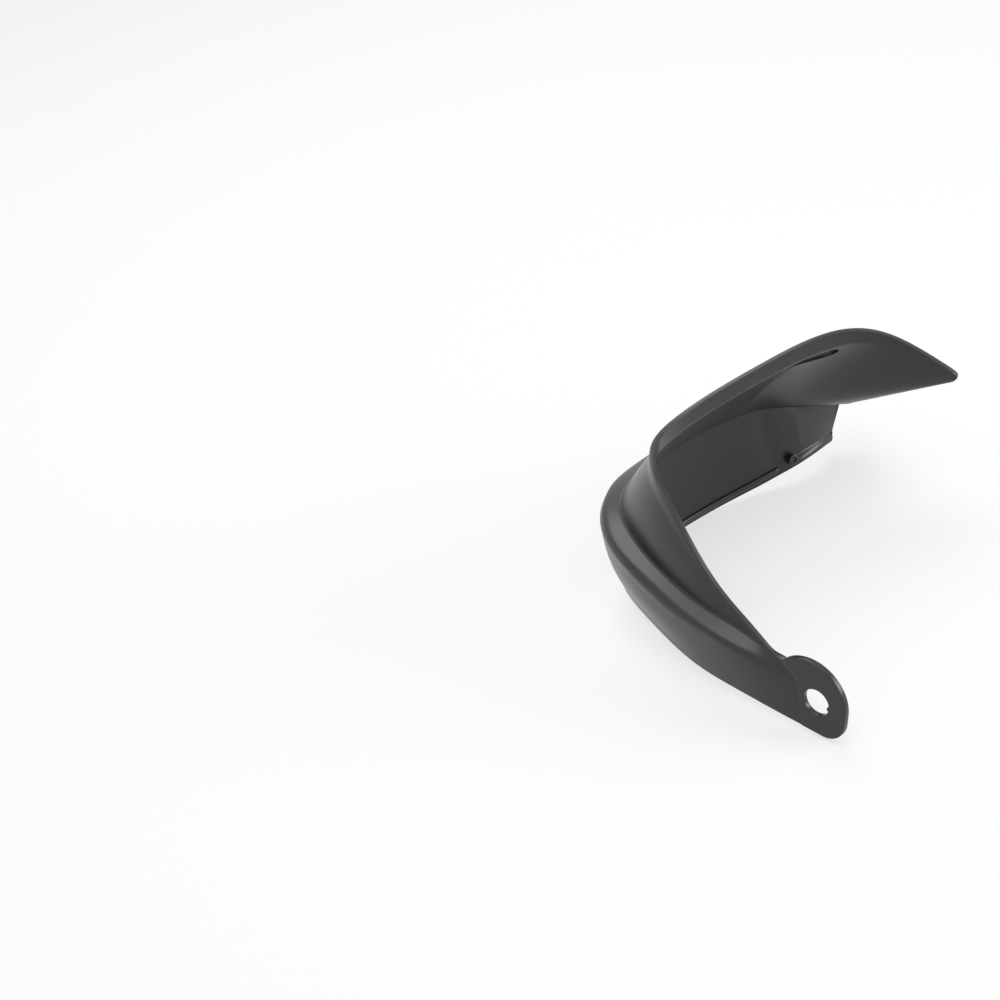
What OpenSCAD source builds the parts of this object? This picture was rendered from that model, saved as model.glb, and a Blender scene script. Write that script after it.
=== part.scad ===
// Hand guard for the left end of a motorcycle handlebar, moulded in one piece.
// The origin is the centre of the bar-end hole on the outer face of the tab.
// +X runs along the bar towards the rider's middle, +Y points forwards, +Z is up.
// A thin shell is lofted through four guide curves that run from the tab, round
// the outer corner and across the front to the inner end.

/* [Overall] */
// Distance along the bar from the tab to the tip of the inner flange
reach = 183; // [165:1:230]
// Distance from the bar's axis forward to the foremost point of the ledge
depth = 144; // [130:1:170]
// Height of the top edge above the bar's axis at its highest point
crown = 81; // [72:1:100]

/* [Wall] */
// Thickness of the moulded wall
wall_t = 2.6; // [2:0.1:3.4]
// Radius of the rounded edge where the lower band meets the ledge
ledge_edge_r = 2; // [1.5:0.5:5]
// Radius of the hollow corner where the upper wall stands on the ledge
ledge_root_r = 3.5; // [2:0.5:5]
// How far the upper wall bows out from a straight line
wall_bow = 1; // [0:0.5:4]

/* [Lip] */
// Height of the lip along the front
lip_h = 7; // [4:0.5:10]
// Radius of the soft fold under the lip
lip_fold_r = 4; // [2:0.5:6]
// Width of the rim round the wing
wing_rim = 5; // [3:0.5:8]
// Height of the rim on the arm, where the lip fades out
arm_rim = 1.5; // [1:0.5:3]
// Radius of the wing's rounded tip
tip_r = 7; // [4:0.5:10]
// Length of the shallow pocket in the inner face, under the lip's fold
pocket_len = 24; // [16:1:30]
// Height of the pocket
pocket_h = 4.5; // [3:0.5:6]
// Depth of the pocket
pocket_depth = 1.2; // [0.6:0.1:1.4]

/* [Lower bead] */
// How far the bead stands in from the wall along the bottom edge
bead_t = 1.1; // [0.5:0.1:2]
// Height of the bead
bead_h = 4; // [3:0.5:6]
// Diameter of the small boss on the band's inner face
boss_d = 5; // [4:0.5:7]
// How far the boss stands in from the band
boss_len = 5; // [2:0.5:8]

/* [Bar-end tab] */
// Diameter of the hole for the bar-end bolt
bore_d = 12; // [8:0.5:14]
// Thickness of the tab
tab_t = 2.8; // [2.4:0.1:4]
// Radius of the tab's rounded head
tab_r = 18; // [16:0.5:20]
// Distance from the hole forward to the head's centre
tab_centre = 4; // [2:0.5:6]
// Radius of the tab's lower rear corner
heel_r = 9.5; // [7:0.5:11]

/* [Inner flange] */
// Width of the slot for the bracket's bolt
slot_w = 6.5; // [5:0.5:8]
// Length of the slot from end to end
slot_len = 12; // [9:0.5:16]
// Turn of the slot from the bar's direction
slot_turn = -18; // [-30:1:0]

/* [Hidden] */

// Size that the guide curves are drawn at.
drawn_reach = 183;
drawn_depth = 144;
drawn_crown = 81;

// Places along the guide curves where the shell has a row of points. The curves'
// own points are one unit apart. Rows are closer where the wing's tip is round.
root_v = 18;
end_v = 22;
tip_v = 16.8;
stations = concat(
    [for (v = [0:0.3:tip_v - 0.3]) v],
    [for (t = [0:0.125:1]) tip_v + (root_v - tip_v) * sin(90 * t)],
    [for (v = [root_v + 0.4:0.4:end_v]) v]);
rows = len(stations) - 1;
root_row = len([for (v = stations) if (v < root_v - 0.001) v]);

// Segments across the shell: bead, band, edge, ledge, root, wall, fold and lip.
bead_marks = [0, 0.3, 0.8, 1.15];
band_segs = 3;
fillet_segs = 4;
wall_segs = 5;

// Guide curves, as points one every 15 to 20 mm, from the tab to the inner end.
bottom_edge = [
    [0.2, 6, -14.6], [0.2, 20, -14.8], [0.8, 38, -15], [1.3, 54, -15.3], [4.4, 70, -15.5],
    [10.3, 88, -15.2], [18.1, 105.5, -17.4], [28, 121.3, -21.8], [41.3, 133.8, -25.4],
    [59.8, 139, -26.6], [81.4, 137.8, -25.5], [102.5, 133.5, -21.7], [120, 126.6, -17],
    [128, 122.6, -14.2], [135, 119, -11.3], [141, 116.3, -8.7], [146.7, 114.6, -6.6],
    [152, 113.6, -5.5], [157.6, 113.4, -5], [163, 114, -5], [168.6, 115.2, -5.2]];
ledge_edge = [
    [0.1, 10, 5.5], [-0.8, 24, 7.8], [-4.2, 38.5, 10.5], [-5.2, 53.8, 12.1], [-4.7, 70.3, 12.9],
    [-1.2, 88.3, 14.8], [4, 107, 16.6], [12.1, 123.1, 17.7], [24.8, 136.1, 18.6],
    [41.4, 143, 19.1], [61.8, 144.5, 19.6], [83.4, 142.3, 22.1], [103.7, 137.8, 24.5],
    [122, 132, 26.7], [130, 129.8, 27.2], [137.8, 127.4, 27.5], [145.4, 125.4, 27.6],
    [152.6, 123.7, 27.6], [159.5, 122.3, 27.6], [171.2, 120.2, 27.6], [183, 117.8, 27.6]];
wall_base = [
    [0.3, 14, 7.5], [2.4, 26, 8.6], [4.5, 38.5, 10.5], [3.6, 51, 12.5], [4.1, 65, 15],
    [7.1, 82, 16.5], [12.6, 99.5, 17.6], [19.6, 114.9, 20], [29.4, 126.8, 21.9],
    [43.8, 134, 23.2], [62.3, 136.6, 24], [83.7, 135.5, 26.1], [104.8, 131.7, 28.3],
    [121.9, 126.6, 29.5], [134.2, 121.2, 28.5], [142.7, 115.3, 27.6], [149.9, 108.6, 27.6],
    [156.5, 101.8, 27.6], [161.9, 96.1, 27.6], [171.4, 97.9, 27.6], [182.2, 110.6, 27.6]];
upper_edge = [
    [0.2, 17.5, 11.5], [2.4, 26, 10.4], [3.4, 39, 18.4], [3.4, 52.7, 25.8], [4.4, 65.8, 36],
    [7.1, 78.7, 46.7], [11.2, 92.5, 56.2], [19.1, 104.4, 60.2], [32.1, 112.7, 60.7],
    [49.7, 114.4, 62.2], [69.7, 110.6, 67.3], [91.2, 104.1, 72.9], [112.2, 97.2, 78.5],
    [131, 89.6, 81.1], [145.3, 79.5, 79.1], [155.4, 65.5, 72], [165.7, 46.1, 59.5]];

// Smooth step from 0 to 1 as x goes from a to b.
function ramp(x, a, b) = let (t = min(1, max(0, (x - a) / (b - a)))) t * t * (3 - 2 * t);

// Moves a drawn point to the chosen overall size, leaving the tab as it is.
function to_size(p) = [
    p.x + (reach - drawn_reach) * ramp(p.x, 30, 130),
    p.y + (depth - drawn_depth) * ramp(p.y, 20, 90),
    p.z + (crown - drawn_crown) * ramp(p.z, 30, 58)];

// Point k of a guide curve, with the end points repeated so that it starts and
// ends there.
function guide_point(curve, k) = to_size(curve[min(max(k, 0), len(curve) - 1)]);

// Point of a cubic B-spline at v, which counts the curve's own points.
function on_curve(curve, v) =
    let (k = min(floor(v), len(curve)), t = v - k, s = 1 - t)
    (s * s * s * guide_point(curve, k - 2)
     + (3 * t * t * t - 6 * t * t + 4) * guide_point(curve, k - 1)
     + (3 * s * s * s - 6 * s * s + 4) * guide_point(curve, k)
     + t * t * t * guide_point(curve, k + 1)) / 6;

function unit(a) = a / norm(a);
function mix(a, b, t) = a + (b - a) * t;

// Points of a rounded corner at c, entered from a and left towards b.
function rounded(a, c, b, r) =
    let (d = min(r, 0.45 * norm(a - c), 0.45 * norm(b - c)),
         p = c + d * unit(a - c), q = c + d * unit(b - c))
    [for (i = [0:fillet_segs]) let (t = i / fillet_segs)
        mix(mix(p, c, t), mix(c, q, t), t)];

// The same number of points where the flange ends flat at c, reached half-way.
function flat_run(a, c, r) =
    [for (i = [0:fillet_segs]) c + r * max(0, 1 - 2 * i / fillet_segs) * unit(a - c)];

// Height of the lip: next to none on the arm, full on the front, a rim on the wing.
function lip_at(v) =
    mix(mix(arm_rim, lip_h, ramp(v, 4, 8)), wing_rim, ramp(v, 13, 16));

// Length that the wing's round tip takes off the upper wall.
function tip_cut(v) =
    let (t = max(0, (v - tip_v) / (root_v - tip_v)))
    tip_r * (1 - sqrt(max(0, 1 - t * t)));

// Corners of the outer face at v: bottom, ledge's edge, wall's foot, fold and top.
function corners(v) =
    let (low = on_curve(bottom_edge, v),
         edge = on_curve(ledge_edge, v),
         base = on_curve(wall_base, v),
         top_full = on_curve(upper_edge, min(v, root_v)),
         top = top_full + tip_cut(min(v, root_v)) * unit(base - top_full),
         along_wall = max(1 - ramp(v, 3, 7), mix(0.15, 1, ramp(v, 13.5, 17.5))),
         down = unit(mix([0, 0, -1], unit(base - top), along_wall)),
         fold = top + min(lip_at(v), 0.35 * norm(top - base)) * down)
    [low, edge, base, fold, top];

// Direction into the guard from the flat between corners k and k + 1 at v.
function inward(v, k) =
    let (a = corners(max(0, v - 0.05)), b = corners(v + 0.05), c = corners(v))
    unit(cross(b[k] + b[k + 1] - a[k] - a[k + 1], c[k + 1] - c[k]));

// Corners of the inner face, one wall thickness in from the outer flats. Past the
// wall's end the ledge is the last flat.
function inner_corners(v) =
    let (c = corners(v), last = v > root_v ? 1 : 3,
         n = [for (k = [0:3]) inward(v, min(last, k))])
    [for (k = [0:4])
        let (a = n[max(0, k - 1)], b = n[min(3, k)])
        c[k] + wall_t * (a + b) / (1 + a * b)];

// Points across one face at v, from its corners, the radii of the lower two and
// how far a bead stands out near the bottom.
function across(v, c, edge_r, root_r, bead) =
    let (edge_arc = rounded(c[0], c[1], c[2], edge_r),
         root_arc = v > root_v ? flat_run(c[1], c[2], root_r) : rounded(c[1], c[2], c[3], root_r),
         fold_arc = rounded(c[2], c[3], c[4], lip_fold_r),
         bead_end = bead_marks[3] * bead_h,
         bow = wall_bow * ramp(norm(c[3] - c[2]), 8, 30) * (1 - ramp(v, 12, 16)) * inward(v, 2))
    concat(
        [for (m = [0:3])
            c[0] + bead_marks[m] * bead_h * unit(c[1] - c[0])
            + (m == 1 || m == 2 ? bead : 0) * inward(v, 0)],
        [for (i = [1:band_segs - 1])
            mix(c[0] + bead_end * unit(c[1] - c[0]), edge_arc[0], i / band_segs)],
        edge_arc,
        root_arc,
        [for (i = [1:wall_segs - 1]) let (t = i / wall_segs)
            mix(root_arc[fillet_segs], fold_arc[0], t) + sin(180 * t) * bow],
        fold_arc,
        [c[4]]);

// Column in the middle of the wall's foot. Past the wall's end the shell stops there.
rim_col = len(bead_marks) + band_segs + fillet_segs + fillet_segs / 2;

outer_face = [for (v = stations) across(v, corners(v), ledge_edge_r, ledge_root_r, 0)];
inner_face = [for (v = stations)
    across(v, inner_corners(v), max(0.4, ledge_edge_r - wall_t / 2), ledge_root_r + wall_t / 2,
        bead_t * ramp(v, 2, 4) * (1 - ramp(v, 14, 16)))];
cols = len(outer_face[0]) - 1;

// The shell has the cell between rows i and i + 1 and columns j and j + 1.
function has_cell(i, j) =
    i >= 0 && i < rows && j >= 0 && j < cols && (i < root_row || j < rim_col);

// Number of a point in the shell's list, with the inner face after the outer.
function outer_id(i, j) = i * (cols + 1) + j;
function inner_id(i, j) = outer_id(i, j) + (rows + 1) * (cols + 1);

// Thin wall that closes the shell between two neighbouring points of its edge.
function edge_wall(a, b) = [
    [outer_id(a[0], a[1]), outer_id(b[0], b[1]), inner_id(b[0], b[1])],
    [outer_id(a[0], a[1]), inner_id(b[0], b[1]), inner_id(a[0], a[1])]];

// Faces of one cell on both sides, and the walls where it has no neighbour.
function cell_faces(i, j) = concat(
    [[outer_id(i, j), outer_id(i + 1, j), outer_id(i + 1, j + 1)],
     [outer_id(i, j), outer_id(i + 1, j + 1), outer_id(i, j + 1)],
     [inner_id(i, j), inner_id(i + 1, j + 1), inner_id(i + 1, j)],
     [inner_id(i, j), inner_id(i, j + 1), inner_id(i + 1, j + 1)]],
    has_cell(i - 1, j) ? [] : edge_wall([i, j], [i, j + 1]),
    has_cell(i + 1, j) ? [] : edge_wall([i + 1, j + 1], [i + 1, j]),
    has_cell(i, j - 1) ? [] : edge_wall([i + 1, j], [i, j]),
    has_cell(i, j + 1) ? [] : edge_wall([i, j + 1], [i + 1, j + 1]));

// The curved wall: lower band, ledge, upper wall with its lip, and wing.
module curved_wall() {
    points = concat([for (r = outer_face) each r], [for (r = inner_face) each r]);
    faces = [for (i = [0:rows - 1]) for (j = [0:cols - 1]) if (has_cell(i, j))
        each cell_faces(i, j)];
    polyhedron(points = points, faces = faces, convexity = 8);
}

// Stands a flat outline, drawn in Y and Z, upright with its thickness along +X.
module upright(t) {
    rotate([90, 0, 90])
        linear_extrude(t)
            children();
}

// Flat tab on the bar's end, with a round head and a tighter lower corner.
tab_drop = 14.6;
tab_end = 26;
module bar_end_tab() {
    head = [tab_centre, 0];
    heel = [tab_centre - tab_r + heel_r, heel_r - tab_drop];
    upright(tab_t) {
        difference() {
            translate(head) circle(r = tab_r, $fn = 120);
            translate(head - [2 * tab_r, 2 * tab_r]) square([4 * tab_r, 2 * tab_r]);
        }
        translate(heel) circle(r = heel_r, $fn = 60);
        polygon([
            head + [-tab_r, 0], heel + [-heel_r, 0], heel, heel + [0, -heel_r],
            [tab_end, -tab_drop], [tab_end, 5], head + [tab_r, 0]]);
    }
}

// Round-ended slot through the flange, which is the ledge grown wider.
module flange_slot() {
    slot_v = root_v + 1.25;
    p = on_curve(ledge_edge, slot_v);
    q = on_curve(wall_base, slot_v);
    half = (slot_len - slot_w) / 2;
    translate([p.x, mix(p.y, q.y, 0.3), p.z - 2 * wall_t])
        rotate([0, 0, slot_turn]) {
            for (side = [-1, 1])
                translate([side * half, 0, 0]) cylinder(h = 3 * wall_t, d = slot_w, $fn = 48);
            translate([-half, -slot_w / 2, 0]) cube([2 * half, slot_w, 3 * wall_t]);
        }
}

// Stands children on the inner face at p, with +X along u and +Z into the guard
// along w.
module standing(p, u, w) {
    v = cross(w, u);
    multmatrix([[u.x, v.x, w.x, p.x], [u.y, v.y, w.y, p.y], [u.z, v.z, w.z, p.z]])
        children();
}

// Shallow pocket in the inner face of the upper wall, just under the lip's fold.
pocket_v = 13.6;
module lip_pocket() {
    c = inner_corners(pocket_v);
    w = inward(pocket_v, 2);
    ahead = inner_corners(pocket_v + 0.5)[3] - inner_corners(pocket_v - 0.5)[3];
    u = unit(ahead - (ahead * w) * w);
    p = c[3] + (lip_fold_r + pocket_h / 2) * unit(c[2] - c[3]);
    standing(p, u, w)
        translate([-pocket_len / 2, -pocket_h / 2, -pocket_depth])
            cube([pocket_len, pocket_h, 2 * pocket_depth]);
}

// Small round boss on the inner face of the band, near its inner end.
boss_v = 16.2;
module band_boss() {
    c = inner_corners(boss_v);
    ahead = inner_corners(boss_v + 0.5)[0] - inner_corners(boss_v - 0.5)[0];
    w = inward(boss_v, 0);
    u = unit(ahead - (ahead * w) * w);
    p = mix(c[0], c[1], 0.15);
    standing(p, u, w)
        translate([0, 0, -wall_t / 2])
            cylinder(h = boss_len + wall_t / 2, d = boss_d, $fn = 48);
}

module guard_shell() {
    color("#2a2c2e")
    difference() {
        union() {
            curved_wall();
            bar_end_tab();
            band_boss();
        }
        translate([-tab_t, 0, 0])
            rotate([0, 90, 0])
                cylinder(h = 3 * tab_t, d = bore_d, $fn = 72);
        flange_slot();
        lip_pocket();
    }
}

guard_shell();
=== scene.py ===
import math

import bmesh
import bpy
import numpy as np
from mathutils import Matrix, Vector


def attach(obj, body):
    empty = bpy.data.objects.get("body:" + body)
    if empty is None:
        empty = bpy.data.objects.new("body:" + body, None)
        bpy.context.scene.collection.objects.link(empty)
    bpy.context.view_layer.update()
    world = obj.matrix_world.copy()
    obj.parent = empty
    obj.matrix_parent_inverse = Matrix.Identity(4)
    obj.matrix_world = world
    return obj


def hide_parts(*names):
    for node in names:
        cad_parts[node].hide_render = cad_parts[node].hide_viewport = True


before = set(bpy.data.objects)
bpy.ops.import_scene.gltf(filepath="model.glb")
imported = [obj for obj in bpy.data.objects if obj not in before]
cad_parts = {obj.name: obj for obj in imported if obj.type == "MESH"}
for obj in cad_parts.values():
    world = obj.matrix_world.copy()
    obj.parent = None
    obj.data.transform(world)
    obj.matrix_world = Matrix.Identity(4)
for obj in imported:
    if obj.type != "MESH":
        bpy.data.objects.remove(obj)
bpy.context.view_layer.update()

# Guard shell
# The whole guard is one injection-moulded piece of black polypropylene. A sheet of
# even thickness is lofted through four guide curves, and the flat tab with the
# bar-end hole closes its outer end. Every free edge is slightly rounded.
MM = 0.001
WALL_T = 2.6
LIP_H = 7.0
ARM_RIM = 1.5
WING_RIM = 5.0
TIP_R = 7.0
ROOT_V = 18.0
END_V = 22.0
TIP_V = 16.8

# Guide curves of the outer face, as points in millimetres from the tab to the inner end.
# They come from a fit to the guard's outline, and some points were then moved.
BOTTOM_EDGE = [
    (0.2, 6, -14.6), (0.2, 20, -14.8), (0.8, 38, -15), (1.3, 54, -15.3), (4.4, 70, -15.5),
    (10.3, 88, -15.2), (18.1, 105.5, -16.9), (28, 121.3, -21), (41.3, 133.8, -24.5),
    (59.8, 139, -26.6), (81.4, 137.8, -25.5), (102.5, 133.5, -21.7), (120, 126.6, -17),
    (128, 122.6, -14.2), (135, 119, -11.3), (141, 116.3, -8.7), (146.7, 114.6, -6.6),
    (152, 113.6, -5.5), (157.6, 113.4, -5), (163, 114, -5), (169.6, 115, -5.7)]
LEDGE_EDGE = [
    (0.1, 10, 5.5), (-1.6, 24, 7.2), (-4.7, 38.5, 9.7), (-5.2, 53.8, 12.1), (-4.7, 70.3, 12.9),
    (-1.2, 88.3, 14.8), (4, 107, 16.6), (12.1, 123.1, 17.7), (24.8, 136.1, 18.6),
    (41.4, 143, 19.1), (61.8, 144.5, 19.6), (83.4, 142.3, 22.1), (103.7, 137.8, 24.5),
    (122, 132, 26.7), (130, 129.8, 27.2), (137.8, 127.4, 27.5), (145.4, 125.4, 27.6),
    (152.6, 123.7, 27.6), (159.5, 122.3, 27.6), (171.2, 120.2, 27.6), (182.7, 117.8, 27.6)]
WALL_BASE = [
    (0.25, 16.8, 10.8), (1.7, 24.6, 11.5), (2.9, 37.2, 13.6), (2.2, 49.6, 14.6), (2.5, 63.6, 15.8),
    (5.6, 80.6, 17.9), (11.1, 98.1, 19), (18.4, 113.8, 21.1), (27.9, 126.8, 22),
    (43.8, 134, 23.2), (62.3, 136.6, 24), (83.7, 135.5, 26.1), (104.8, 131.7, 28.3),
    (121.9, 126.6, 29.5), (134.2, 121.2, 28.5), (142.7, 115.3, 27.6), (149.9, 108.6, 27.6),
    (156.5, 101.8, 27.6), (161.9, 96.1, 27.6), (171.4, 97.9, 27.6), (182.2, 110.6, 27.6)]
UPPER_EDGE = [
    (0.2, 17.5, 11.5), (2.4, 26, 12), (3.4, 39, 18.4), (3.4, 52.7, 25.8), (4.4, 65.8, 36),
    (7.1, 78.7, 46.7), (11.2, 92.5, 56.2), (19.1, 104.4, 60.2), (32.1, 112.7, 60.7),
    (49.7, 114.4, 62.2), (69.7, 110.6, 67.3), (91.2, 104.1, 72.9), (112.2, 97.2, 78.5),
    (131, 89.6, 81.1), (145.3, 79.5, 79.1), (155.4, 65.5, 72), (165.7, 46.1, 59.5)]


def on_curve(curve, v):
    """Point of a cubic B-spline whose end points are repeated, at v in its own points."""
    k = min(int(math.floor(v + 1e-9)), len(curve))
    t = v - k
    s = 1 - t
    p = [np.array(curve[min(max(k + d, 0), len(curve) - 1)], float) for d in (-2, -1, 0, 1)]
    return (s**3 * p[0] + (3 * t**3 - 6 * t**2 + 4) * p[1]
            + (3 * s**3 - 6 * s**2 + 4) * p[2] + t**3 * p[3]) / 6


def unit(a):
    return a / np.linalg.norm(a)


def mix(a, b, t):
    return a + (b - a) * t


def ramp(x, a, b):
    t = min(1.0, max(0.0, (x - a) / (b - a)))
    return t * t * (3 - 2 * t)


def corners(v):
    """Bottom, ledge's edge, wall's foot, fold and top of the outer face at v."""
    w = min(v, ROOT_V)
    low, edge, base = on_curve(BOTTOM_EDGE, v), on_curve(LEDGE_EDGE, v), on_curve(WALL_BASE, v)
    full = on_curve(UPPER_EDGE, w)
    t = max(0.0, (w - TIP_V) / (ROOT_V - TIP_V))
    top = full + TIP_R * (1 - math.sqrt(max(0.0, 1 - t * t))) * unit(base - full)
    along = max(1 - ramp(v, 3, 7), mix(0.15, 1.0, ramp(v, 13.5, 17.5)))
    down = unit(mix(np.array([0, 0, -1.0]), unit(base - top), along))
    lip = mix(mix(ARM_RIM, LIP_H, ramp(v, 4, 8)), WING_RIM, ramp(v, 13, 16))
    fold = top + min(lip, 0.35 * np.linalg.norm(top - base)) * down
    return [low, edge, base, fold, top]


def inward(v, k):
    a, b, c = corners(max(0.0, v - 0.05)), corners(v + 0.05), corners(v)
    return unit(np.cross(b[k] + b[k + 1] - a[k] - a[k + 1], c[k + 1] - c[k]))


def inner_corners(v):
    c = corners(v)
    last = 1 if v > ROOT_V + 1e-6 else 3
    n = [inward(v, min(last, k)) for k in range(4)]
    out = []
    for k in range(5):
        a, b = n[max(0, k - 1)], n[min(3, k)]
        out.append(c[k] + WALL_T * (a + b) / (1 + a @ b))
    return out


# Sizes of the section's rounded corners and shallow curves, in millimetres. The numbers
# that end in V are places along the guide curves.
SHOULDER, SHOULDER_STEP = 5.0, 2.9
INNER_SHOULDER, INNER_STEP = SHOULDER - WALL_T / 2, 1.6
ROOT_R = 1.2
WING_ROOT_R = 4.0
FOLD_R = 0.9
WALL_BOW = -0.8
BAND_BOW = 1.3
CREASE_V, CREASE, CREASE_REACH = 13.3, 1.6, 0.55
RIDGE_V, RIDGE, RIDGE_REACH = 17.2, 1.3, 1.1
HOLLOW_V, HOLLOW, HOLLOW_REACH = 15.0, 0.8, 0.6
FOOT_T = 1.4
FOOT_H = 4.0
FILLET = 10
BAND = 7
WALL = 12
FOOT = [0.0, 0.3, 0.6, 0.88, 1.0, 1.15]
FOOT_LIFT = [1.0, 0.97, 0.85, 0.3, 0.0, 0.0]


def rounded(a, c, b, r):
    d = min(r, 0.45 * np.linalg.norm(a - c), 0.45 * np.linalg.norm(b - c))
    p, q = c + d * unit(a - c), c + d * unit(b - c)
    return [mix(mix(p, c, t), mix(c, q, t), t) for t in np.linspace(0, 1, FILLET + 1)]


def shoulder(v, c, drop, step):
    """Rounded top of the band, which meets the ledge in a crisp line step inside the corner."""
    down, on = unit(c[0] - c[1]), unit(c[2] - c[1])
    step = min(step * mix(0.35, 1.0, ramp(v, 3.5, 6.5) * (1 - ramp(v, 9.0, 10.3))),
               0.5 * np.linalg.norm(c[2] - c[1]))
    drop = min(drop, 1.9 * step + 1.0)
    p, m, q = c[1] + drop * down, c[1] + 0.36 * drop * down, c[1] + step * on
    return [mix(mix(p, m, t), mix(m, q, t), t) for t in np.linspace(0, 1, FILLET + 1)]


def crease_depth(v, t):
    """Depth of the crease at v, t of the way up from the wall's foot to the fold."""
    return (CREASE * math.exp(-abs(v - CREASE_V) / CREASE_REACH)
            * math.sin(math.pi * t ** 1.4))


def across(v, c, drop, step, root_r, foot):
    """Points of one section of a face, from the bottom edge to the top."""
    band_in, wall_in = inward(v, 0), inward(v, 2)
    edge = shoulder(v, c, drop, step)
    root_r += WING_ROOT_R * ramp(v, 16.6, ROOT_V)
    if v > ROOT_V + 1e-6:
        root = [c[2] + root_r * max(0.0, 1 - 2 * i / FILLET) * unit(c[1] - c[2])
                for i in range(FILLET + 1)]
    else:
        root = rounded(c[1], c[2], c[3], root_r)
    fold = rounded(c[2], c[3], c[4], FOLD_R)
    up = unit(c[1] - c[0])
    end = c[0] + FOOT[-1] * FOOT_H * up
    pts = [c[0] + m * FOOT_H * up + lift * foot * band_in for m, lift in zip(FOOT, FOOT_LIFT)]
    belly = BAND_BOW * ramp(v, 4, 6.5) * (1 - ramp(v, 10, 12))
    ridge = (RIDGE * math.exp(-abs(v - RIDGE_V) / RIDGE_REACH)
             - HOLLOW * math.exp(-((v - HOLLOW_V) / HOLLOW_REACH) ** 2))
    for t in (i / BAND for i in range(1, BAND)):
        lift = math.sin(math.pi * t) ** 0.4 * ridge - math.sin(math.pi * t) * belly
        pts.append(mix(end, edge[0], t) + lift * band_in)
    pts += edge + [mix(edge[-1], root[0], t) for t in (0.33, 0.67)] + root
    bow = WALL_BOW * ramp(np.linalg.norm(c[3] - c[2]), 8, 30) * (1 - ramp(v, 12, 16))
    for t in (i / WALL for i in range(1, WALL)):
        lift = math.sin(math.pi * t) * bow - crease_depth(v, t)
        pts.append(mix(root[-1], fold[0], t) + lift * wall_in)
    return pts + fold + [mix(fold[-1], c[4], 0.5), c[4]]


RIM_COL = len(FOOT) + BAND - 1 + (FILLET + 1) + 2 + FILLET // 2
stations = np.concatenate([
    np.arange(0, TIP_V - 0.05, 0.1),
    TIP_V + (ROOT_V - TIP_V) * np.sin(np.linspace(0, math.pi / 2, 17)),
    np.linspace(ROOT_V, END_V, 41)[1:]])
root_row = int(np.argmin(abs(stations - ROOT_V)))
outer = np.array([across(v, corners(v), SHOULDER, SHOULDER_STEP, ROOT_R, 0)
                  for v in stations])
inner = np.array([across(v, inner_corners(v), INNER_SHOULDER, INNER_STEP, ROOT_R + WALL_T / 2,
                         FOOT_T * ramp(v, 14.8, RIDGE_V)) for v in stations])
rows, cols = outer.shape[0] - 1, outer.shape[1] - 1

# The tab is a ring of points from the hole to its outline. The outline's front part
# is the shell's first row, so the flat runs into the band, ledge and wall unbroken.
TAB_T = 2.8
TAB_R = 18.0
TAB_CENTRE_Y = 4.0
HEEL_R = 9.5
TAB_DROP = 14.6
BORE_R = 6.0
RINGS = 9
head = np.array([TAB_CENTRE_Y, 0.0])
heel = np.array([TAB_CENTRE_Y - TAB_R + HEEL_R, HEEL_R - TAB_DROP])
notch, low = outer[0][-1][1:], outer[0][0][1:]
a0 = math.atan2(notch[1] - head[1], notch[0] - head[0])
arc = [head + TAB_R * np.array([math.cos(a), math.sin(a)]) for a in np.linspace(a0, math.pi, 60)]
arc += [heel + HEEL_R * np.array([math.cos(a), math.sin(a)])
        for a in np.linspace(math.pi, 1.5 * math.pi, 36)]
arc += [mix(arc[-1], low, t) for t in np.linspace(0, 1, 20)[1:-1]]


def tab_ring(row, x):
    """Points of the tab, outline first, from the shell's first row and the face's place x."""
    outline = np.concatenate([row, [[x, p[0], p[1]] for p in arc[1:]]])
    ang = np.unwrap(np.arctan2(outline[:, 2], outline[:, 1]))
    hole = np.stack([np.full(len(ang), x), BORE_R * np.cos(ang), BORE_R * np.sin(ang)], 1)
    return [mix(outline, hole, t) for t in np.linspace(0, 1, RINGS + 1)]


verts, faces = [], []


def add_sheet(grid, ring):
    """Adds one face of the sheet with its tab, and returns its first vertex's number."""
    first = len(verts)
    verts.extend(grid.reshape(-1, 3))
    tab = [len(verts) + k * len(ring[0]) for k in range(RINGS)]
    for loop in ring[1:]:
        verts.extend(loop)
    n = len(ring[0])

    def vid(k, m):
        m %= n
        if k == 0:
            return first + m if m <= cols else arc_first + m - cols - 1
        return tab[k - 1] + m

    arc_first = len(verts)
    verts.extend(ring[0][cols + 1:])
    out = []
    for i in range(rows):
        for j in range(cols):
            if i < root_row or j < RIM_COL:
                a = first + i * (cols + 1) + j
                out.append((a, a + cols + 1, a + cols + 2, a + 1))
    for k in range(RINGS):
        for m in range(n):
            out.append((vid(k, m), vid(k, m + 1), vid(k + 1, m + 1), vid(k + 1, m)))
    return first, out


first_out, out_faces = add_sheet(outer, tab_ring(outer[0], 0.0))
first_in, in_faces = add_sheet(inner, tab_ring(inner[0], TAB_T))
verts = np.array(verts)
gap = first_in - first_out

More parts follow.
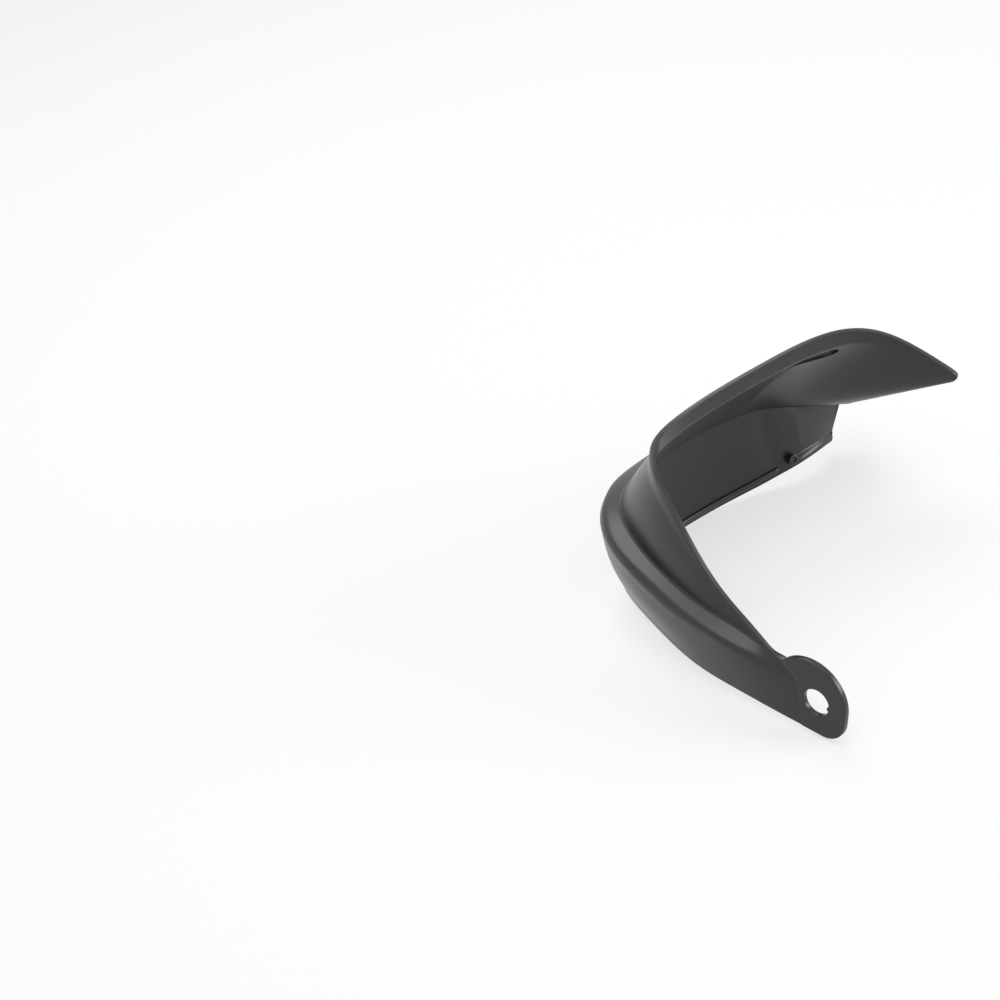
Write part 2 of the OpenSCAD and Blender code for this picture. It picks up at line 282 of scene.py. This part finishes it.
# Free edges: the faces' last points draw back a little and a rounded rim joins them.
RIM_ROUND = 0.55
ARC = 4
count = {}
for f in out_faces:
    for a, b in zip(f, f[1:] + f[:1]):
        count[(a, b)] = 1
free = [(a, b) for a, b in count if (b, a) not in count]
near = {}
free_points = {a for e in free for a in e}
for f in out_faces:
    for p in f:
        if p in free_points:
            near.setdefault(p, []).extend(q for q in f if q not in free_points)
faces = [f[::-1] for f in out_faces] + in_faces
strip, moved = {}, {}
extra = []
for p in sorted(free_points):
    o, i = verts[p], verts[p + gap]
    side = unit(i - o)
    back_o, back_i = side, -side
    if near.get(p):
        back_o = unit(np.mean([verts[q] for q in near[p]], 0) - o)
        back_i = unit(np.mean([verts[q + gap] for q in near[p]], 0) - i)
    line = [mix(mix(o + RIM_ROUND * back_o, o, t), mix(o, o + RIM_ROUND * side, t), t)
            for t in np.linspace(0, 1, ARC + 1)]
    line += [mix(mix(i - RIM_ROUND * side, i, t), mix(i, i + RIM_ROUND * back_i, t), t)
             for t in np.linspace(0, 1, ARC + 1)]
    moved[p], moved[p + gap] = line[0], line[-1]
    strip[p] = [p] + [len(verts) + len(extra) + k for k in range(len(line) - 2)] + [p + gap]
    extra.extend(line[1:-1])
for p, co in moved.items():
    verts[p] = co
verts = np.concatenate([verts, np.array(extra)])
for a, b in free:
    for k in range(len(strip[a]) - 1):
        faces.append((strip[a][k], strip[b][k], strip[b][k + 1], strip[a][k + 1]))

mesh = bpy.data.meshes.new("guard_shell_skin")
mesh.from_pydata((verts * MM).tolist(), [], faces)
bm = bmesh.new()
bm.from_mesh(mesh)
bmesh.ops.delete(bm, geom=[v for v in bm.verts if not v.link_faces], context="VERTS")
bmesh.ops.remove_doubles(bm, verts=bm.verts, dist=2e-6)
bmesh.ops.triangulate(bm, faces=bm.faces, quad_method="SHORT_EDGE")
bmesh.ops.recalc_face_normals(bm, faces=bm.faces)
bm.to_mesh(mesh)
bm.free()
shell = bpy.data.objects.new("guard_shell_skin", mesh)
bpy.context.collection.objects.link(shell)


# The plastic is satin black with a fine spark-eroded grain and soft flow shading.
def grain_group():
    g = bpy.data.node_groups.new("moulded_grain", "ShaderNodeTree")
    for name, kind, where, value in (
            ("Grain size", "NodeSocketFloat", "INPUT", 1800.0),
            ("Cloud size", "NodeSocketFloat", "INPUT", 22.0),
            ("Dark", "NodeSocketColor", "INPUT", (0.0165, 0.0169, 0.0178, 1)),
            ("Light", "NodeSocketColor", "INPUT", (0.0210, 0.0215, 0.0226, 1)),
            ("Roughness low", "NodeSocketFloat", "INPUT", 0.27),
            ("Roughness high", "NodeSocketFloat", "INPUT", 0.34),
            ("Color", "NodeSocketColor", "OUTPUT", None),
            ("Roughness", "NodeSocketFloat", "OUTPUT", None),
            ("Height", "NodeSocketFloat", "OUTPUT", None)):
        sock = g.interface.new_socket(name=name, in_out=where, socket_type=kind)
        if value is not None:
            sock.default_value = value
    n, l = g.nodes, g.links
    gi, go = n.new("NodeGroupInput"), n.new("NodeGroupOutput")
    tc = n.new("ShaderNodeTexCoord")
    cloud, fine = n.new("ShaderNodeTexNoise"), n.new("ShaderNodeTexNoise")
    cloud.inputs["Detail"].default_value = 0.0
    fine.inputs["Detail"].default_value = 2.0
    l.new(tc.outputs["Object"], cloud.inputs["Vector"])
    l.new(tc.outputs["Object"], fine.inputs["Vector"])
    l.new(gi.outputs["Cloud size"], cloud.inputs["Scale"])
    l.new(gi.outputs["Grain size"], fine.inputs["Scale"])
    col = n.new("ShaderNodeMix")
    col.data_type = "RGBA"
    l.new(cloud.outputs["Fac"], col.inputs["Factor"])
    l.new(gi.outputs["Dark"], col.inputs["A"])
    l.new(gi.outputs["Light"], col.inputs["B"])
    rough = n.new("ShaderNodeMapRange")
    l.new(cloud.outputs["Fac"], rough.inputs["Value"])
    rough.inputs["From Min"].default_value = 0.1
    rough.inputs["From Max"].default_value = 0.9
    l.new(gi.outputs["Roughness low"], rough.inputs["To Min"])
    l.new(gi.outputs["Roughness high"], rough.inputs["To Max"])
    l.new(col.outputs["Result"], go.inputs["Color"])
    l.new(rough.outputs["Result"], go.inputs["Roughness"])
    l.new(fine.outputs["Fac"], go.inputs["Height"])
    return g


plastic = bpy.data.materials.new("satin_black_polypropylene")
plastic.use_nodes = True
nodes, links = plastic.node_tree.nodes, plastic.node_tree.links
bsdf = nodes["Principled BSDF"]
bsdf.inputs["IOR"].default_value = 1.46
grain = nodes.new("ShaderNodeGroup")
grain.node_tree = grain_group()
bump = nodes.new("ShaderNodeBump")
bump.inputs["Strength"].default_value = 0.25
bump.inputs["Distance"].default_value = 0.00005
links.new(grain.outputs["Color"], bsdf.inputs["Base Color"])
links.new(grain.outputs["Roughness"], bsdf.inputs["Roughness"])
links.new(grain.outputs["Height"], bump.inputs["Height"])
links.new(bump.outputs["Normal"], bsdf.inputs["Normal"])


# The slot goes through the flange, a shallow pocket is let in under the lip's fold and
# a small boss stands on the band's inner face. Each is a stack of rings in millimetres.
def stacked(name, rings):
    bm = bmesh.new()
    loops = [[bm.verts.new(tuple(p * MM)) for p in ring] for ring in rings]
    for below, over in zip(loops, loops[1:]):
        for k in range(len(below)):
            m = (k + 1) % len(below)
            bm.faces.new((below[k], below[m], over[m], over[k]))
    bm.faces.new(loops[0][::-1])
    bm.faces.new(loops[-1])
    bmesh.ops.recalc_face_normals(bm, faces=bm.faces)
    data = bpy.data.meshes.new(name)
    bm.to_mesh(data)
    bm.free()
    o = bpy.data.objects.new(name, data)
    bpy.context.collection.objects.link(o)
    return o


def oblong(length, width, n=14):
    """Outline of a round-ended slot, in two dimensions, centred."""
    half, r = (length - width) / 2, width / 2
    right = [(half + r * math.cos(a), r * math.sin(a))
             for a in np.linspace(-math.pi / 2, math.pi / 2, n)]
    left = [(-half + r * math.cos(a), r * math.sin(a))
            for a in np.linspace(math.pi / 2, 1.5 * math.pi, n)]
    return right + left


def inner_frame(v, k, t):
    """Place on the inner face between corners k and k + 1, with its u, across and out."""
    c = inner_corners(v)
    out = inward(v, k)
    along_u = inner_corners(v + 0.4)[k] - inner_corners(v - 0.4)[k]
    u = unit(along_u - (along_u @ out) * out)
    return mix(c[k], c[k + 1], t), u, np.cross(out, u), out


def combine(tool, operation):
    """Joins the tool to the shell or cuts it out, and removes the tool."""
    cut = shell.modifiers.new("cut", "BOOLEAN")
    cut.operation, cut.solver, cut.object = operation, "EXACT", tool
    graph = bpy.context.evaluated_depsgraph_get()
    done = bpy.data.meshes.new_from_object(shell.evaluated_get(graph))
    shell.modifiers.clear()
    shell.data = done
    bpy.data.objects.remove(tool)


SLOT_W, SLOT_LEN, SLOT_TURN = 6.5, 12.0, math.radians(-18)
SLOT_V = ROOT_V + 1.25
p, q = on_curve(LEDGE_EDGE, SLOT_V), on_curve(WALL_BASE, SLOT_V)
slot_at = np.array([p[0], mix(p[1], q[1], 0.3), p[2] - WALL_T / 2])
turn_u = np.array([math.cos(SLOT_TURN), math.sin(SLOT_TURN), 0])
turn_w = np.array([-math.sin(SLOT_TURN), math.cos(SLOT_TURN), 0])
slot_profile = [(-3, 0), (0.8, 0), (1.3, 0.12), (1.5, 0.5), (3, 0.5)]
combine(stacked("slot_cutter", [
    [slot_at + x * turn_u + y * turn_w + np.array([0, 0, z])
     for x, y in oblong(SLOT_LEN + 2 * grow, SLOT_W + 2 * grow)]
    for z, grow in slot_profile]), "DIFFERENCE")

# The pocket follows the wall, POCKET_T below the fold.
POCKET_V, POCKET_LEN, POCKET_H, POCKET_T, POCKET_DEPTH = 13.65, 24.0, 8.5, 7.4, 1.5
c, d = inner_corners(POCKET_V - 0.5), inner_corners(POCKET_V + 0.5)
per_v = np.linalg.norm(mix(d[3], d[2], 0.12) - mix(c[3], c[2], 0.12))
pocket_profile = [(-0.85, -POCKET_DEPTH), (0.85, -POCKET_DEPTH), (1, 0.3 - POCKET_DEPTH),
                  (1, 3), (-1, 3), (-1, 0.3 - POCKET_DEPTH)]
rings = []
for s in np.linspace(-1, 1, 19):
    v = POCKET_V + 0.5 * POCKET_LEN * math.sin(s * math.pi / 2) / per_v
    c, out = inner_corners(v), inward(v, 2)
    tall = POCKET_H / 2 * max(0.12, (1 - math.sin(s * math.pi / 2) ** 4)) ** 0.5
    reach = np.linalg.norm(c[2] - c[3])
    mid = c[3] + POCKET_T * unit(c[2] - c[3]) - crease_depth(v, 1 - POCKET_T / reach) * out
    up = unit(c[3] - c[2])
    rings.append([mid + a * tall * up + b * out for a, b in pocket_profile])
combine(stacked("pocket_cutter", rings), "DIFFERENCE")

BOSS_V, BOSS_R, BOSS_LEN = 16.2, 2.5, 3.8
p, u, w, out = inner_frame(BOSS_V, 0, 0.15)
boss_profile = [(-1.3, 0.1), (0.1, 0.3), (0.5, 0.05), (1.0, 0), (BOSS_LEN - 0.5, 0),
                (BOSS_LEN - 0.15, -0.12), (BOSS_LEN, -0.5), (BOSS_LEN - 0.05, -1.3),
                (BOSS_LEN - 0.6, -1.5)]
combine(stacked("boss", [
    [p + (BOSS_R + grow) * (math.cos(a) * u + math.sin(a) * w) + h * out
     for a in np.linspace(0, 2 * math.pi, 41)[:-1]]
    for h, grow in boss_profile]), "UNION")


# A round bead stands on the inner face along the bottom edge. It is swept along a line
# of points, and its ends thin out.
def sweep_tree():
    g = bpy.data.node_groups.new("edge_bead", "GeometryNodeTree")
    ids = {}
    for name, kind, value in (("Geometry", "NodeSocketGeometry", None),
                              ("Radius", "NodeSocketFloat", 0.0012),
                              ("Sides", "NodeSocketInt", 16),
                              ("Start taper", "NodeSocketFloat", 0.1),
                              ("End taper", "NodeSocketFloat", 0.1),
                              ("Material", "NodeSocketMaterial", None)):
        sock = g.interface.new_socket(name=name, in_out="INPUT", socket_type=kind)
        ids[name] = sock.identifier
        if value is not None:
            sock.default_value = value
    g.interface.new_socket(name="Geometry", in_out="OUTPUT", socket_type="NodeSocketGeometry")
    n, l = g.nodes, g.links
    gi, go = n.new("NodeGroupInput"), n.new("NodeGroupOutput")
    line, where = n.new("GeometryNodeMeshToCurve"), n.new("GeometryNodeSplineParameter")
    rise, left, fall, least, full, root = (n.new("ShaderNodeMath") for _ in range(6))
    rise.operation, left.operation, fall.operation = "DIVIDE", "SUBTRACT", "DIVIDE"
    least.operation, full.operation, root.operation = "MINIMUM", "MINIMUM", "SQRT"
    left.inputs[0].default_value = 1.0
    full.inputs[1].default_value = 1.0
    l.new(where.outputs["Factor"], rise.inputs[0])
    l.new(gi.outputs["Start taper"], rise.inputs[1])
    l.new(where.outputs["Factor"], left.inputs[1])
    l.new(left.outputs[0], fall.inputs[0])
    l.new(gi.outputs["End taper"], fall.inputs[1])
    l.new(rise.outputs[0], least.inputs[0])
    l.new(fall.outputs[0], least.inputs[1])
    l.new(least.outputs[0], full.inputs[0])
    l.new(full.outputs[0], root.inputs[0])
    ring = n.new("GeometryNodeCurvePrimitiveCircle")
    l.new(gi.outputs["Radius"], ring.inputs["Radius"])
    l.new(gi.outputs["Sides"], ring.inputs["Resolution"])
    sweep = n.new("GeometryNodeCurveToMesh")
    sweep.inputs["Fill Caps"].default_value = True
    l.new(gi.outputs["Geometry"], line.inputs["Mesh"])
    l.new(line.outputs["Curve"], sweep.inputs["Curve"])
    l.new(ring.outputs["Curve"], sweep.inputs["Profile Curve"])
    l.new(root.outputs[0], sweep.inputs["Scale"])
    whole, paint = n.new("GeometryNodeRealizeInstances"), n.new("GeometryNodeSetMaterial")
    l.new(sweep.outputs["Mesh"], whole.inputs["Geometry"])
    l.new(whole.outputs["Geometry"], paint.inputs["Geometry"])
    l.new(gi.outputs["Material"], paint.inputs["Material"])
    l.new(paint.outputs["Geometry"], go.inputs["Geometry"])
    return g, ids


BEAD_R, BEAD_UP, BEAD_SINK = 1.45, 3.5, 0.1
BEAD_FROM, BEAD_TO, BEAD_END = 4.0, 15.35, 0.3
path = []
for v in np.concatenate([np.arange(BEAD_FROM, BEAD_TO - BEAD_END, 0.15),
                         np.linspace(BEAD_TO - BEAD_END, BEAD_TO, 8)]):
    c = inner_corners(v)
    path.append(c[0] + BEAD_UP * unit(c[1] - c[0]) - BEAD_SINK * inward(v, 0))
line_mesh = bpy.data.meshes.new("edge_bead")
line_mesh.from_pydata([tuple(p * MM) for p in path],
                      [(k, k + 1) for k in range(len(path) - 1)], [])
bead = bpy.data.objects.new("edge_bead", line_mesh)
bpy.context.collection.objects.link(bead)
tree, ids = sweep_tree()
swept = bead.modifiers.new("sweep", "NODES")
swept.node_group = tree
for name, value in (("Radius", BEAD_R * MM), ("Sides", 20), ("Start taper", 0.1),
                    ("End taper", 0.012), ("Material", plastic)):
    swept[ids[name]] = value
solid = bpy.data.meshes.new_from_object(bead.evaluated_get(bpy.context.evaluated_depsgraph_get()))
bead.modifiers.clear()
bead.data = solid
bm = bmesh.new()
bm.from_mesh(solid)
bmesh.ops.recalc_face_normals(bm, faces=bm.faces)
bm.to_mesh(solid)
bm.free()
combine(bead, "UNION")

# A trace of moulding flash is left on the rear edge of the hole.
combine(stacked("flash", [
    [np.array([x, 0.3 - BORE_R + r * math.cos(a), -0.5 + r * math.sin(a)])
     for a in np.linspace(0, 2 * math.pi, 13)[:-1]]
    for x, r in ((0.25, 0.35), (0.45, 0.75), (1.4, 0.9), (2.35, 0.7), (2.6, 0.3))]), "UNION")

# Hair-thin slivers and doubled faces left by the joins are taken out, so that the skin
# is one closed surface.
bm = bmesh.new()
bm.from_mesh(shell.data)
bmesh.ops.remove_doubles(bm, verts=bm.verts, dist=4e-6)
bmesh.ops.dissolve_degenerate(bm, edges=bm.edges, dist=4e-6)
bmesh.ops.triangulate(bm, faces=bm.faces)
bm.verts.index_update()
same = {}
for f in bm.faces:
    same.setdefault(frozenset(v.index for v in f.verts), []).append(f)
bmesh.ops.delete(bm, geom=[f for group in same.values() if len(group) > 1 for f in group],
                 context="FACES")
bmesh.ops.collapse(bm, edges=[e for e in bm.edges if len(e.link_faces) > 2])
bm.to_mesh(shell.data)
bm.free()
shell.data.shade_smooth()
shell.data.set_sharp_from_angle(angle=math.radians(50))
shell.data.materials.clear()
shell.data.materials.append(plastic)
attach(shell, "root")
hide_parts("guard_shell")

# Floor
# A pale studio table that the guard lies on, touching its tab and its lower front
# edge. It keeps the soft shadow, and looks nearly white to the camera and in reflections.
FLOOR_SLOPE = np.array([-0.109, 0.126, 1.0])
normal = FLOOR_SLOPE / np.linalg.norm(FLOOR_SLOPE)
reach_down = float((verts @ normal).min()) * MM
CLEARANCE = 0.0002
HALF_WIDTH = 3.0
WHITENESS = 0.62
centre = np.array([0.06, 0.06, 0.0])
centre = centre - normal * (centre @ normal - reach_down + CLEARANCE)
side = unit(np.cross([0, 1, 0], normal))
ahead = np.cross(normal, side)
floor_mesh = bpy.data.meshes.new("studio_table")
floor_mesh.from_pydata([tuple(centre + HALF_WIDTH * (a * side + b * ahead))
                        for a, b in ((-1, -1), (1, -1), (1, 1), (-1, 1))], [], [(0, 1, 2, 3)])
floor = bpy.data.objects.new("studio_table", floor_mesh)
bpy.context.collection.objects.link(floor)
white = bpy.data.materials.new("white_table")
white.use_nodes = True
wb = white.node_tree.nodes["Principled BSDF"]
wb.inputs["Base Color"].default_value = (0.86, 0.86, 0.86, 1)
wb.inputs["Roughness"].default_value = 0.8
wb.inputs["Specular IOR Level"].default_value = 0.0
mn, ml = white.node_tree.nodes, white.node_tree.links


def seen_directly(nodes, links):
    """1 for rays from the camera, off a glossy surface or through glass, otherwise 0."""
    path, either, any_ray = (nodes.new("ShaderNodeLightPath"), nodes.new("ShaderNodeMath"),
                             nodes.new("ShaderNodeMath"))
    either.operation = any_ray.operation = "MAXIMUM"
    links.new(path.outputs["Is Camera Ray"], either.inputs[0])
    links.new(path.outputs["Is Glossy Ray"], either.inputs[1])
    links.new(either.outputs["Value"], any_ray.inputs[0])
    links.new(path.outputs["Is Transmission Ray"], any_ray.inputs[1])
    return any_ray.outputs["Value"]


paper, part, blend = (mn.new("ShaderNodeEmission"), mn.new("ShaderNodeMath"),
                      mn.new("ShaderNodeMixShader"))
paper.inputs["Strength"].default_value = 1.0
part.operation = "MULTIPLY"
part.inputs[1].default_value = WHITENESS
ml.new(seen_directly(mn, ml), part.inputs[0])
ml.new(part.outputs["Value"], blend.inputs["Fac"])
ml.new(wb.outputs["BSDF"], blend.inputs[1])
ml.new(paper.outputs["Emission"], blend.inputs[2])
ml.new(blend.outputs["Shader"], mn["Material Output"].inputs["Surface"])
floor_mesh.materials.append(white)

# Light
# Even studio light: a white room, soft lamps behind and above, and a panel on the
# rider's side that lights the inner faces.
world = bpy.data.worlds.new("white_room")
bpy.context.scene.world = world
world.use_nodes = True
wn, wl = world.node_tree.nodes, world.node_tree.links
wn["Background"].inputs["Color"].default_value = (1, 1, 1, 1)
wn["Background"].inputs["Strength"].default_value = 0.42
seen = wn.new("ShaderNodeBackground")
seen.inputs["Strength"].default_value = 1.0
seen.inputs["Color"].default_value = (1, 1, 1, 1)
choose = wn.new("ShaderNodeMixShader")
wl.new(seen_directly(wn, wl), choose.inputs["Fac"])
wl.new(wn["Background"].outputs["Background"], choose.inputs[1])
wl.new(seen.outputs["Background"], choose.inputs[2])
wl.new(choose.outputs["Shader"], wn["World Output"].inputs["Surface"])


def lamp(name, place, aim, size_x, size_y, power):
    data = bpy.data.lights.new(name, "AREA")
    data.shape, data.size, data.size_y, data.energy = "RECTANGLE", size_x, size_y, power
    o = bpy.data.objects.new(name, data)
    o.location = place
    o.rotation_euler = (Vector(aim) - Vector(place)).to_track_quat("-Z", "Y").to_euler()
    bpy.context.collection.objects.link(o)


GUARD = (0.07, 0.06, 0.02)
lamp("back_softbox", (0.25, 0.85, 1.0), GUARD, 0.9, 0.7, 6.0)
lamp("top_softbox", (-0.35, 0.1, 1.25), GUARD, 0.9, 0.9, 6.8)
lamp("rider_side_panel", (0.8, -1.0, 0.62), GUARD, 1.0, 0.6, 12.5)

# Camera
# A long lens looks down on the guard from its outer side and a little from behind.
cam_data = bpy.data.cameras.new("camera")
cam_data.lens, cam_data.sensor_width = 72.86, 36.0
cam_data.clip_start, cam_data.clip_end = 0.01, 20.0
camera = bpy.data.objects.new("camera", cam_data)
camera.location = (-0.533581, -0.328300, 0.513663)
TURN, TILT, ROLL = math.radians(42.9972), math.radians(-34.1665), math.radians(0.1721)
ahead = Vector((math.cos(TILT) * math.cos(TURN), math.cos(TILT) * math.sin(TURN), math.sin(TILT)))
right = ahead.cross(Vector((0, 0, 1))).normalized()
above = right.cross(ahead)
right, above = (math.cos(ROLL) * right - math.sin(ROLL) * above,
                math.sin(ROLL) * right + math.cos(ROLL) * above)
camera.rotation_euler = Matrix((right, above, -ahead)).transposed().to_euler()
cam_data.shift_x, cam_data.shift_y = -0.0005, 0.0005
bpy.context.collection.objects.link(camera)
bpy.context.scene.camera = camera
bpy.context.scene.view_settings.view_transform = "Standard"
